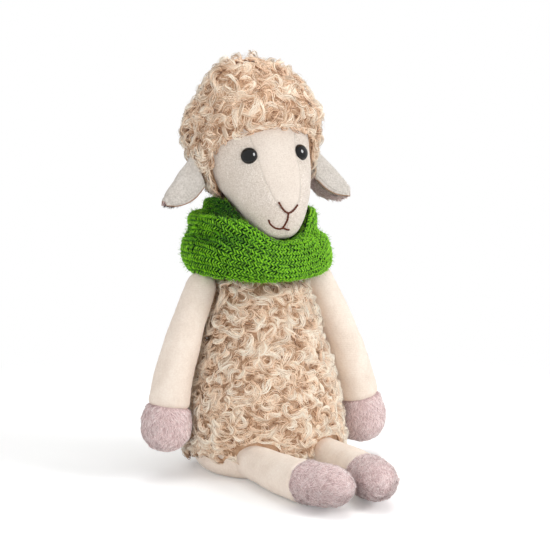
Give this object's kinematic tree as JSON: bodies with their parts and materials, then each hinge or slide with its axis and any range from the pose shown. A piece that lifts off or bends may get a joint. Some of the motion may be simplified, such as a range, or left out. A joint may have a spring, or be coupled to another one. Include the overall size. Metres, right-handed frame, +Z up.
{
  "type": "plush sheep",
  "caption": "Seated soft toy sheep with curly fleece, velour face and limbs, plush hooves, hanging ears and a knitted ring scarf.",
  "frame": {"origin": "middle of the flat underside of the seat, on the surface that the toy sits on", "axes": "+Z up from the seat to the crown, the face looks along -Y, the toy's own left side is +X"},
  "size_m": [0.1572, 0.1833, 0.2443],
  "materials": {
    "fleece": "long curled pile",
    "velour": "short matt pile",
    "hoof_plush": "short frosted pile",
    "ear_velour": "short matt pile",
    "knit": "stocking stitch",
    "eye_plastic": "polished",
    "washer_plastic": "as moulded",
    "filling": "loose fibre",
    "granules": "granules in a thin bag"
  },
  "bodies": {
    "torso": {"body_fleece": "fleece", "seat_panel": "velour", "body_stuffing": "filling", "seat_granule_bag": "granules"},
    "neck": {"neck_sleeve": "velour", "neck_stuffing": "filling"},
    "head": {"head_stuffing": "filling", "face_gusset": "velour", "left_cheek": "velour", "right_cheek": "velour", "head_fleece": "fleece", "left_eye": "eye_plastic", "right_eye": "eye_plastic", "left_eye_washer": "washer_plastic", "right_eye_washer": "washer_plastic"},
    "scarf": {"scarf": "knit"},
    "left_ear": {"left_ear_outer": "ear_velour", "left_ear_lining": "hoof_plush"},
    "left_arm": {"left_arm_sleeve": "velour", "left_arm_hoof": "hoof_plush", "left_arm_stuffing": "filling"},
    "left_leg": {"left_leg_sleeve": "velour", "left_leg_hoof": "hoof_plush", "left_leg_stuffing": "filling"},
    "right_ear": {"right_ear_outer": "ear_velour", "right_ear_lining": "hoof_plush"},
    "right_arm": {"right_arm_sleeve": "velour", "right_arm_hoof": "hoof_plush", "right_arm_stuffing": "filling"},
    "right_leg": {"right_leg_sleeve": "velour", "right_leg_hoof": "hoof_plush", "right_leg_stuffing": "filling"}
  },
  "joints": [
    {"name": "neck_turn", "type": "hinge", "parent": "torso", "child": "neck", "pos_m": [0, 0.013, 0.116], "axis": [0, 0, 1], "range_deg": [-20, 20], "stiffness_Nm_per_rad": 0.2},
    {"name": "head_nod", "type": "hinge", "parent": "neck", "child": "head", "pos_m": [0, 0.013, 0.152], "axis": [1, 0, 0], "range_deg": [-5, 0], "stiffness_Nm_per_rad": 1},
    {"name": "scarf_turn", "type": "hinge", "parent": "neck", "child": "scarf", "pos_m": [0, 0.013, 0.1168], "axis": [0, 0, 1], "range_deg": [-5, 5]},
    {"name": "left_ear_lift", "type": "hinge", "parent": "head", "child": "left_ear", "pos_m": [0.03882, 0.017, 0.1872], "axis": [0, -1, 0], "range_deg": [0, 70]},
    {"name": "left_arm_swing", "type": "hinge", "parent": "torso", "child": "left_arm", "pos_m": [0.03936, 0.0095, 0.1075], "axis": [-1, 0, 0], "range_deg": [-40, 80]},
    {"name": "left_leg_swing", "type": "hinge", "parent": "torso", "child": "left_leg", "pos_m": [0.0225, -0.0205, 0.0118], "axis": [1, 0, 0], "range_deg": [-6, 80]},
    {"name": "right_ear_lift", "type": "hinge", "parent": "head", "child": "right_ear", "pos_m": [-0.03882, 0.017, 0.1872], "axis": [0, 1, 0], "range_deg": [0, 70]},
    {"name": "right_arm_swing", "type": "hinge", "parent": "torso", "child": "right_arm", "pos_m": [-0.03936, 0.0095, 0.1075], "axis": [-1, 0, 0], "range_deg": [-40, 80]},
    {"name": "right_leg_swing", "type": "hinge", "parent": "torso", "child": "right_leg", "pos_m": [-0.0225, -0.0205, 0.0118], "axis": [1, 0, 0], "range_deg": [-6, 80]}
  ]
}
